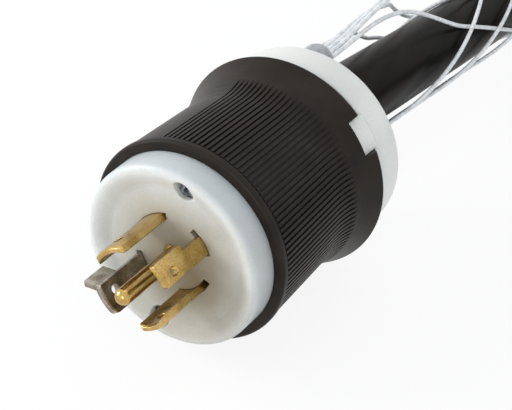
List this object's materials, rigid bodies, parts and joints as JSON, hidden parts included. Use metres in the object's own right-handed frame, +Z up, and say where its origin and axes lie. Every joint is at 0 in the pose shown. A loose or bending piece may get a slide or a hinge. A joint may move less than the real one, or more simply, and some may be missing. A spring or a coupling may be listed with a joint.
{
  "type": "locking power plug",
  "caption": "Twist-locking power plug with curved blades round a ground pin, a ribbed dark shell, a white face and grip ring, and a wire-mesh grip on a coiled heavy cord.",
  "frame": {"origin": "on the floor under the middle of the plug, from the ground pin's tip to the back of the grip ring; the plug lies on its flange", "axes": "+Y runs back along the plug's axis, from the blades to the cord; +Z is up, towards 12 o'clock of the face; +X is to the right of someone looking at the blades along +Y"},
  "size_m": [0.2972, 0.4693, 0.0566],
  "materials": {
    "face_plastic": "satin",
    "shell_plastic": "satin",
    "block_plastic": "satin",
    "brass_contact": "satin",
    "nickel_contact": "satin",
    "steel_screw": "satin",
    "grip_fitting": "matte",
    "grip_wire": "satin",
    "grip_band": "satin",
    "cord_jacket": "satin",
    "tie_strap": "matte",
    "core_black": "satin",
    "core_red": "satin",
    "core_blue": "satin",
    "core_white": "satin",
    "core_green": "satin"
  },
  "bodies": {
    "root": {"front_face": "face_plastic", "blade_x": "brass_contact", "blade_y": "brass_contact", "blade_z": "brass_contact", "blade_neutral": "nickel_contact", "ground_pin": "brass_contact", "terminal_block": "block_plastic", "terminal_clamps": "brass_contact", "terminal_screws": "steel_screw", "assembly_screws": "steel_screw", "assembly_nuts": "brass_contact", "shell": "shell_plastic", "grip_ring": "face_plastic", "clamp_jaw": "block_plastic", "clamp_screws": "steel_screw", "mesh_anchors": "grip_fitting", "mesh_strands_left": "grip_wire", "mesh_strands_right": "grip_wire", "mesh_tail_band": "grip_band", "cord_jacket_end": "cord_jacket", "core_black": "core_black", "core_red": "core_red", "core_blue": "core_blue", "core_white": "core_white", "core_green": "core_green", "cord_free": "cord_jacket", "cord_coil": "cord_jacket", "coil_ties": "tie_strap", "end_core_black": "core_black", "end_core_red": "core_red", "end_core_blue": "core_blue", "end_core_white": "core_white", "end_core_green": "core_green"}
  },
  "joints": []
}
